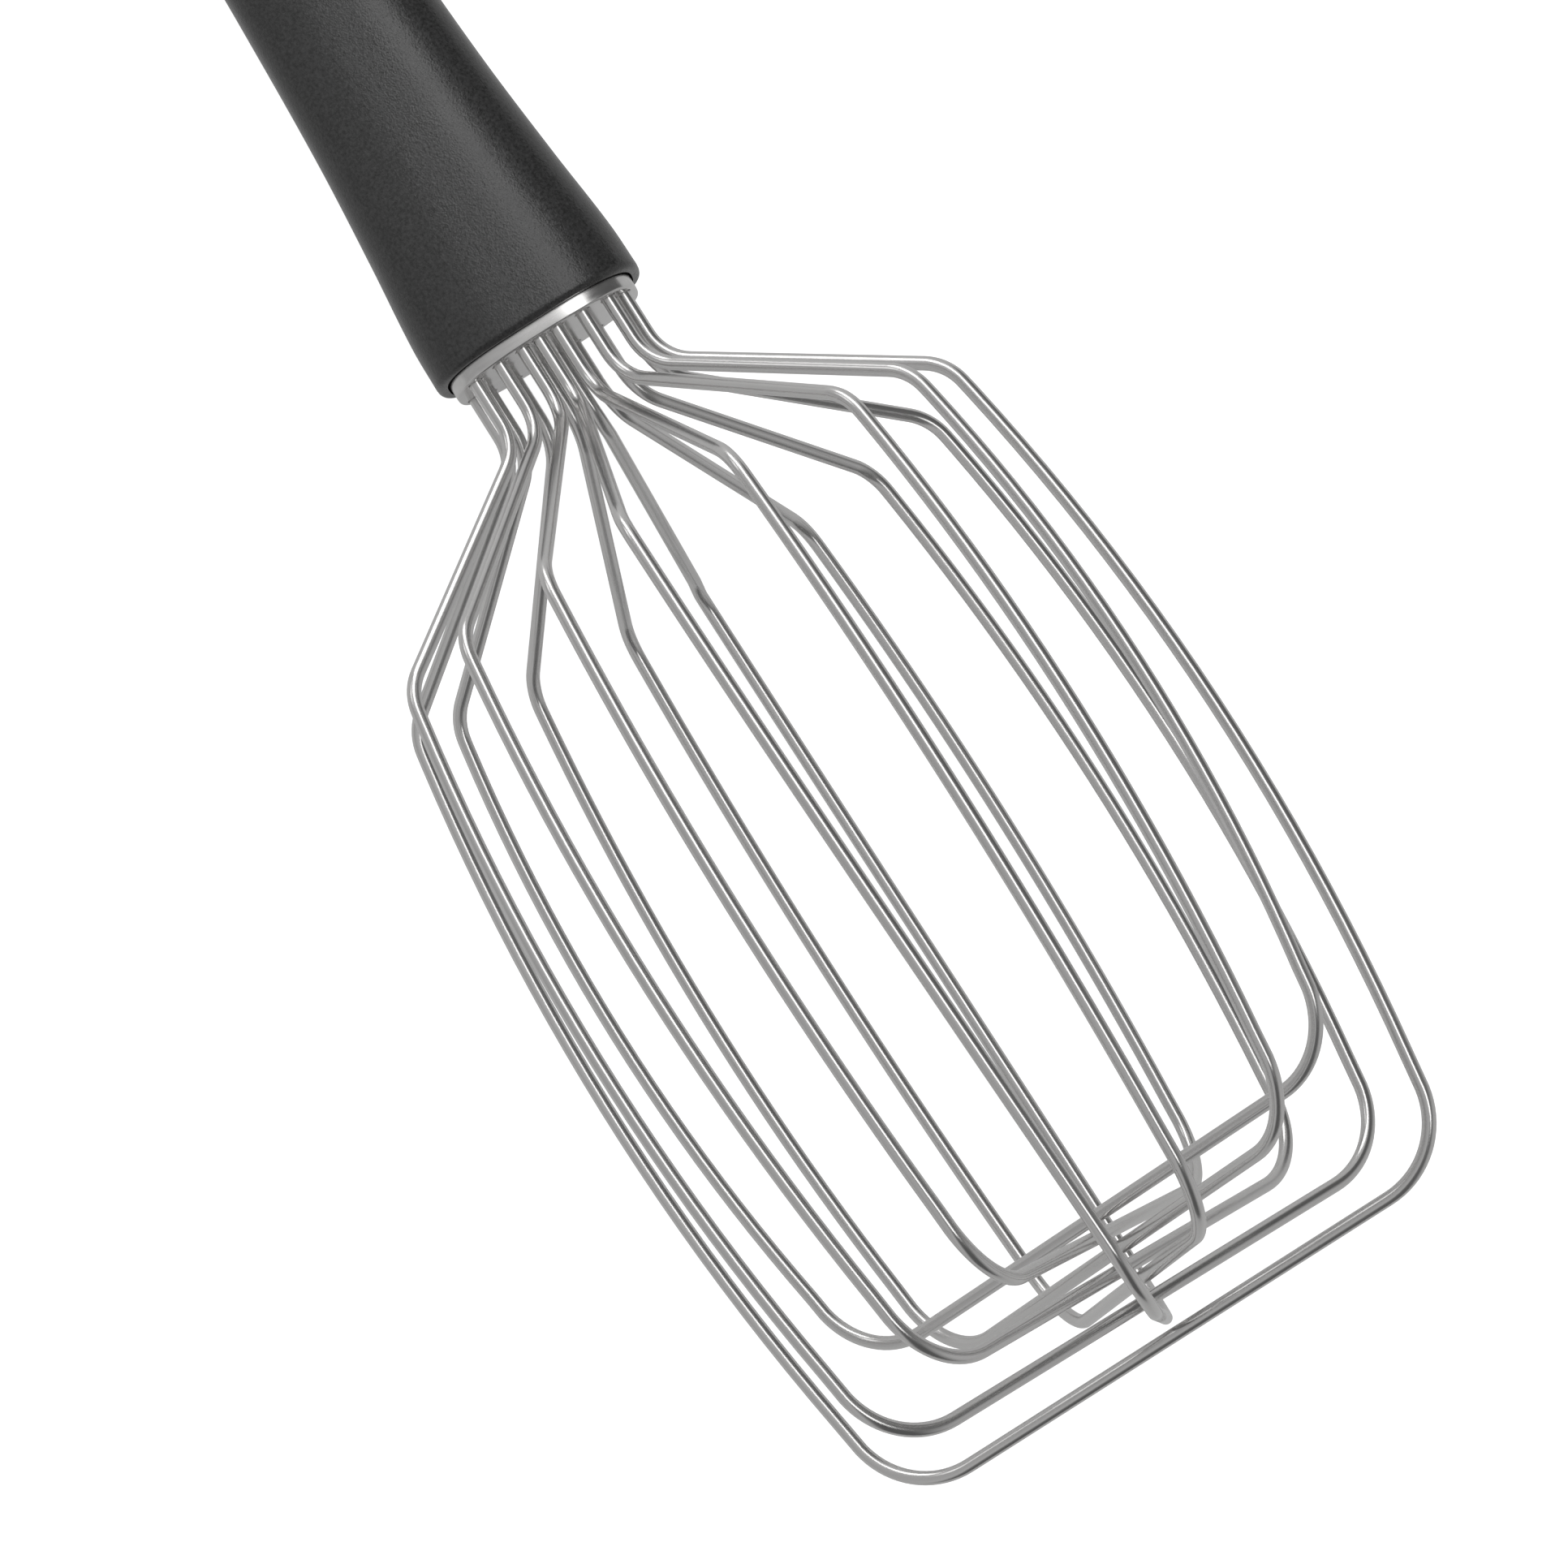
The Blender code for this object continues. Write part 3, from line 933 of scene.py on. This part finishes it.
@dataclass
class FerrulePlate:
    """The oblong steel plate in the handle's mouth, with a hole for every leg."""

    section: Oblong = PLATE_OUTLINE
    thickness: float = 3.0 * MM
    edge_round: float = 0.35 * MM
    edge_steps: int = 5
    segments: int = 128
    hole_radius: float = 1.05 * MM
    hole_mouth: float = 1.16 * MM
    hole_sides: int = 24

    def brushed(self, point: Vector) -> Vector:
        """The pattern place of a point: the brushed lines run across the handle's wide way."""
        return Vector((point.y, point.x, point.z))

    def blank(self, workshop: Workshop) -> bpy.types.Object:
        """Make the plate before it is drilled.

        Args:
            workshop: gives the pose.

        Returns:
            The plate.
        """
        skin = Skin(self.segments)
        for sine, cosine in arc_steps(self.edge_steps):
            x = -self.thickness + self.edge_round * (1.0 - cosine)
            edge = self.section.inset(self.edge_round * (1.0 - sine))
            skin.grow(ring_at(x, edge, self.brushed))
        for sine, cosine in arc_steps(self.edge_steps):
            edge = self.section.inset(self.edge_round * (1.0 - cosine))
            skin.grow(ring_at(-self.edge_round * (1.0 - sine), edge, self.brushed))
        skin.cap()
        return add_object("drilled_plate", skin.mesh("drilled_plate", workshop.pose))

    def drills(
        self, places: Iterable[tuple[float, float]], workshop: Workshop
    ) -> bpy.types.Object:
        """Rods for all the holes, a little wider at the plate's face, which breaks the hole's edge.

        Args:
            places: the (Y, Z) place of each hole.
            workshop: gives the pose.

        Returns:
            One object that holds all the rods.
        """
        chamfer = self.hole_mouth - self.hole_radius
        proud = 0.4 * chamfer  # a rod's cone ends a little outside the plate's face, not on it
        sections = (
            (proud, self.hole_mouth + proud),
            (-chamfer, self.hole_radius),
            (-2.0 * self.thickness, self.hole_radius),
        )
        rods = bmesh.new()
        for y, z in places:
            rod = Skin(self.hole_sides)
            for x, radius in sections:

                def where(angle: float) -> Place:
                    """The place of the ring's vertex at an angle. A rod needs no pattern."""
                    across, over = radius * math.cos(angle), radius * math.sin(angle)
                    return Vector((x, y + across, z + over)), Vector()

                rod.grow(where)
            rod.cap()
            mesh = rod.mesh("rod", workshop.pose)
            rods.from_mesh(mesh)
            bpy.data.meshes.remove(mesh)
        mesh = bpy.data.meshes.new("drills")
        rods.to_mesh(mesh)
        rods.free()
        return add_object("drills", mesh)

    def build(self, workshop: Workshop, places: Iterable[tuple[float, float]]) -> None:
        """Make, drill and dress the plate.

        Args:
            workshop: where it is handed over.
            places: the (Y, Z) place of each hole.
        """
        plate = self.blank(workshop)
        upright = workshop.pose.inverted()
        cut_away(plate, self.drills(places, workshop), lambda spot: self.brushed(upright @ spot))
        workshop.hand_over(plate, "ferrule_plate", PLATE_STEEL.material())


@dataclass
class Handle:
    """The soft sleeve, the core that it is moulded on, and the end cap."""

    stations: tuple[tuple[float, float, float], ...] = (  # x, half width, half depth (mm)
        (-1.9, 14.75, 10.6),
        (-8.5, 14.6, 10.6),
        (-20.0, 13.5, 10.2),
        (-34.0, 12.35, 9.5),
        (-50.0, 11.55, 9.2),
        (-68.0, 11.0, 9.2),
        (-88.0, 11.2, 9.6),
        (-104.0, 12.0, 9.9),
        (-114.0, 12.5, 9.9),
    )
    wall: float = 1.3 * MM
    lip_round: float = 0.9 * MM
    tail_round: float = 0.4 * MM
    round_steps: int = 6
    rings: int = 90
    segments: int = 144
    mouth: Oblong = PLATE_OUTLINE
    cap_section: Oblong = Oblong(12.5 * MM, 9.9 * MM)
    cap_front: float = -114.3 * MM
    cap_butt: float = -134.0 * MM
    cap_round: float = 4.5 * MM
    cap_round_steps: int = 14
    cap_edge: float = 0.4 * MM
    spigot_length: float = 9.0 * MM
    core_wall: float = 2.2 * MM
    slot_x: float = -123.5 * MM
    slot_length: float = 15.0 * MM
    slot_width: float = 8.4 * MM
    slot_flare: float = 1.0 * MM
    slot_segments: int = 96

    def slope(self, index: int, column: int) -> float:
        """Slope of the outline at a station, from its neighbours.

        Args:
            index: the station's.
            column: 1 for the half width, 2 for the half depth.

        Returns:
            The slope.
        """
        before = self.stations[max(index - 1, 0)]
        after = self.stations[min(index + 1, len(self.stations) - 1)]
        return (after[column] - before[column]) / (after[0] - before[0])

    def section(self, x: float) -> Oblong:
        """The sleeve's outer section.

        Args:
            x: the place along the tool.

        Returns:
            The section there.
        """
        places = [station[0] * MM for station in self.stations]
        span = 0
        while span < len(places) - 2 and x < places[span + 1]:
            span += 1
        run = places[span + 1] - places[span]
        share = (x - places[span]) / run
        sizes = []
        for column in (1, 2):
            low = self.stations[span][column] * MM
            high = self.stations[span + 1][column] * MM
            slopes = (self.slope(span, column) * run, self.slope(span + 1, column) * run)
            sizes.append(hermite(low, high, *slopes, share))
        return Oblong(*sizes)

    def bore(self, x: float) -> Oblong:
        """The space inside the sleeve: its outline less its wall, and no wider than the mouth.

        Args:
            x: the place along the tool.

        Returns:
            The section there.
        """
        section = self.section(x).inset(self.wall)
        mouth = self.mouth.inset(-GAP)
        half_width = min(section.half_width, mouth.half_width)
        return Oblong(half_width, min(section.half_depth, mouth.half_depth))

    def sleeve(self, workshop: Workshop) -> bpy.types.Object:
        """The soft sleeve: out over the lip, along the outside, and back through the bore.

        Args:
            workshop: gives the pose.

        Returns:
            The sleeve.
        """
        front = self.stations[0][0] * MM
        end = self.stations[-1][0] * MM
        skin = Skin(self.segments)
        mouth = self.section(front)
        for sine, cosine in arc_steps(self.round_steps):
            inset = self.lip_round * (1.0 - sine)
            skin.grow(ring_at(front - self.lip_round * (1.0 - cosine), mouth.inset(inset)))
        start = front - self.lip_round
        stop = end + self.tail_round
        for step in range(1, self.rings + 1):
            x = start + (stop - start) * step / self.rings
            skin.grow(ring_at(x, self.section(x)))
        tail = self.section(end)
        for sine, cosine in arc_steps(self.round_steps):
            inset = self.tail_round * (1.0 - cosine)
            if sine:
                skin.grow(ring_at(stop - self.tail_round * sine, tail.inset(inset)))
        bore_rings = self.rings // 3
        for step in range(bore_rings + 1):
            x = end + (front - end) * step / bore_rings
            skin.grow(ring_at(x, self.bore(x)))
        skin.join_ends()
        return add_object("soft_sleeve", skin.mesh("soft_sleeve", workshop.pose))

    def slot_cutter(self, workshop: Workshop) -> bpy.types.Object:
        """A rod with round ends and flared mouths, through the thin way of the cap.

        Args:
            workshop: gives the pose.

        Returns:
            The rod.
        """
        half_straight = (self.slot_length - self.slot_width) / 2.0
        surface = self.cap_section.half_depth
        flare = [
            (surface - self.slot_flare * (1.0 - sine), self.slot_flare * (1.0 - cosine))
            for sine, cosine in arc_steps(self.round_steps)
        ]
        upper = flare + [(2.0 * surface, self.slot_flare)]
        lower = [(-height, widening) for height, widening in reversed(upper)]
        rod = Skin(self.slot_segments, half_step=True)
        for height, widening in lower + upper:

            def where(angle: float) -> Place:
                """The place of the ring's vertex at an angle."""
                radius = self.slot_width / 2.0 + widening
                cosine = math.cos(angle)
                x = self.slot_x + math.copysign(half_straight, cosine) + radius * cosine
                point = Vector((x, radius * math.sin(angle), height))
                return point, point

            rod.grow(where)
        rod.cap()
        return add_object("slot", rod.mesh("slot", workshop.pose))

    def end_cap(self, workshop: Workshop) -> bpy.types.Object:
        """The end cap: a spigot in the core, a domed body with a flat butt, and a hanging slot.

        Args:
            workshop: gives the pose.

        Returns:
            The cap.
        """
        skin = Skin(self.segments)
        join = self.stations[-1][0] * MM
        core_bore = self.wall + 2.0 * GAP + self.core_wall
        spigot = self.section(join + self.spigot_length).inset(core_bore)
        skin.grow(ring_at(self.cap_front + self.spigot_length, spigot.inset(GAP)))
        skin.grow(ring_at(self.cap_front + self.spigot_length - GAP, spigot))
        skin.grow(ring_at(self.cap_front, spigot))
        for sine, cosine in arc_steps(self.round_steps):
            edge = self.cap_section.inset(self.cap_edge * (1.0 - sine))
            skin.grow(ring_at(self.cap_front - self.cap_edge * (1.0 - cosine), edge))
        for sine, cosine in arc_steps(self.cap_round_steps):
            inset = self.cap_round * (1.0 - cosine)
            x = self.cap_butt + self.cap_round * (1.0 - sine)
            skin.grow(ring_at(x, self.cap_section.inset(inset)))
        skin.cap()
        cap = add_object("slotted_cap", skin.mesh("slotted_cap", workshop.pose))
        upright = workshop.pose.inverted()
        cut_away(cap, self.slot_cutter(workshop), lambda spot: upright @ spot)
        return cap

    def dress_core(self) -> None:
        """Give the hidden core its own finish. Its shape stays the CAD model's."""
        core = frame["nodes"]["handle_core"]
        core.data.materials.clear()
        core.data.materials.append(CORE_PLASTIC.material())
        LOG.info("handle_core: dressed")

    def build(self, workshop: Workshop) -> None:
        """Make and dress the handle's pieces.

        Args:
            workshop: where they are handed over.
        """
        workshop.hand_over(self.sleeve(workshop), "soft_grip", SOFT_GRIP.material())
        workshop.hand_over(self.end_cap(workshop), "end_cap", CAP_PLASTIC.material())
        self.dress_core()


# ------------------------------ the studio


@dataclass(frozen=True)
class Softbox:
    """A soft rectangular light, placed by its angles from the camera's axis as the tool sees it."""

    name: str
    across: float  # degrees towards the tool's +Y
    along: float  # degrees towards its foot
    width: float
    length: float
    radiance: float
    distance: float = 1.2

    def build(self, overhead: Matrix) -> None:
        """Hang the light.

        Args:
            overhead: a matrix at the point that the light faces, with X across the tool, Y towards
                its butt and Z towards the camera.
        """
        swing = Matrix.Rotation(math.radians(self.across), 4, "Y")
        tilt = Matrix.Rotation(math.radians(self.along), 4, "X")
        light = bpy.data.lights.new(self.name, "AREA")
        light.shape = "RECTANGLE"
        light.size = self.width
        light.size_y = self.length
        light.energy = self.radiance * math.pi * self.width * self.length
        lamp = bpy.data.objects.new(self.name, light)
        bpy.context.scene.collection.objects.link(lamp)
        lamp.matrix_world = overhead @ swing @ tilt @ Matrix.Translation((0.0, 0.0, self.distance))
        lamp.visible_camera = False


@dataclass
class Studio:
    """A white table, soft lights round a camera that looks down, and a grey room."""

    aim: Vector  # the point that the camera looks at, in the tool's frame
    distance: float = 781.6 * MM
    tilt: float = math.radians(6.915)  # of the camera, towards the tool's foot
    roll: float = math.radians(32.24)
    lens: float = 145.34
    sensor: float = 36.0
    table_size: float = 8.0
    table_seen: float = 0.93  # white that the camera sees in it, with or without light
    table_cast: float = 0.30  # glow that the tool sees in it
    table_diffuse: float = 0.35
    lights: tuple[Softbox, ...] = (
        Softbox("core_softbox", across=17.0, along=-13.0, width=0.34, length=1.6, radiance=2.2),
        Softbox("butt_softbox", across=19.0, along=-62.0, width=0.34, length=0.8, radiance=2.8),
        Softbox("fill_softbox", across=-38.0, along=-50.0, width=0.30, length=0.34, radiance=1.2),
        Softbox("strip_softbox", across=17.0, along=-13.0, width=0.08, length=1.6, radiance=5.0),
    )
    room: tuple[tuple[float, float], ...] = (  # (place from the pale side to the dark side, grey)
        (0.0, 0.40),
        (0.30, 0.48),
        (0.47, 0.56),
        (0.58, 0.12),
        (0.84, 0.12),
        (0.97, 0.50),
    )

    def overhead(self, pose: Matrix) -> Matrix:
        """A matrix at the aim, with X across the tool, Y towards its butt and Z to the camera.

        Args:
            pose: the matrix from the tool's frame to the row frame.

        Returns:
            The 4 by 4 matrix.
        """
        back = Vector((math.sin(self.tilt), 0.0, math.cos(self.tilt)))
        across = Vector((0.0, 1.0, 0.0))
        axes = Matrix((across, back.cross(across), back)).transposed()
        return pose @ Matrix.Translation(self.aim) @ axes.to_4x4()

    def place_camera(self, overhead: Matrix) -> None:
        """Set up the camera, over the aim and rolled.

        Args:
            overhead: the matrix at the aim.
        """
        data = bpy.data.cameras.new("camera")
        data.lens = self.lens
        data.sensor_width = self.sensor
        camera = bpy.data.objects.new("camera", data)
        bpy.context.scene.collection.objects.link(camera)
        lifted = Matrix.Translation((0.0, 0.0, self.distance))
        camera.matrix_world = overhead @ lifted @ Matrix.Rotation(-self.roll, 4, "Z")
        bpy.context.scene.camera = camera

    def lay_table(self) -> None:
        """Lay the table top: white from above, dimmer in the steel, and clear from below."""
        top = bmesh.new()
        bmesh.ops.create_grid(top, x_segments=1, y_segments=1, size=self.table_size / 2.0)
        mesh = bpy.data.meshes.new("table")
        top.to_mesh(mesh)
        top.free()
        table = add_object("table", mesh)
        material = bpy.data.materials.new("table_white")
        material.use_nodes = True
        tree = Tree(material.node_tree)
        shader = material.node_tree.nodes["Principled BSDF"]
        seen = tree.add("LightPath").outputs["Is Camera Ray"]
        shader.inputs["Base Color"].default_value = grey(self.table_diffuse)
        shader.inputs["Roughness"].default_value = 0.9
        shader.inputs["Specular IOR Level"].default_value = 0.0
        shader.inputs["Emission Color"].default_value = grey(1.0)
        glow = tree.spread(seen, 0.0, 1.0, (self.table_cast, self.table_seen))
        tree.feed(shader.inputs["Emission Strength"], glow)
        underside = tree.add("NewGeometry").outputs["Backfacing"]
        above = tree.add("MixShader", Fac=underside)
        tree.feed(above.inputs[1], shader.outputs["BSDF"])
        tree.feed(above.inputs[2], tree.add("BsdfTransparent").outputs["BSDF"])
        output = material.node_tree.nodes["Material Output"]
        tree.feed(output.inputs["Surface"], above.outputs["Shader"])
        mesh.materials.append(material)

    def light_room(self, dark_side: Vector) -> None:
        """Light the room in soft greys, white where it is looked at.

        Args:
            dark_side: the direction in which the greys change.
        """
        world = bpy.data.worlds.new("room")
        world.use_nodes = True
        bpy.context.scene.world = world
        tree = Tree(world.node_tree)
        background = world.node_tree.nodes["Background"]
        direction = tree.add("TexCoord").outputs["Generated"]
        sideways = tree.add("VectorMath", operation="DOT_PRODUCT")
        tree.feed(sideways.inputs[0], direction)
        tree.feed(sideways.inputs[1], dark_side)
        ramp = tree.add("ValToRGB")
        tree.feed(ramp.inputs["Fac"], tree.spread(sideways.outputs["Value"], -1.0, 1.0))
        bands = ramp.color_ramp.elements
        while len(bands) < len(self.room):
            bands.new(1.0)
        for band, (position, value) in zip(bands, self.room):
            band.position = position
            band.color = grey(value)
        seen = tree.add("LightPath").outputs["Is Camera Ray"]
        tree.feed(background.inputs["Color"], tree.tint(seen, ramp.outputs["Color"], grey(1.0)))

    def build(self, pose: Matrix) -> None:
        """Put up the camera, the table, the room and the lights.

        Args:
            pose: the matrix from the tool's frame to the row frame.
        """
        overhead = self.overhead(pose)
        self.place_camera(overhead)
        self.lay_table()
        axes = overhead.to_3x3()
        self.light_room((axes.col[0] - axes.col[1]).normalized())
        for light in self.lights:
            light.build(overhead)
        bpy.context.scene.view_settings.view_transform = "Standard"


def main() -> None:
    """Build the studio and the tool, and report each piece."""
    logging.basicConfig(level=logging.INFO, format="%(name)s: %(message)s")
    pose = Pose().matrix(frame["record"])
    Studio(aim=Vector((62.2 * MM, -4.29 * MM, 0.0))).build(pose)
    workshop = Workshop(pose)
    cage = WireCage()
    cage.build(workshop)
    FerrulePlate().build(workshop, cage.leg_places())
    Handle().build(workshop)


if __name__ == "__main__":
    main()
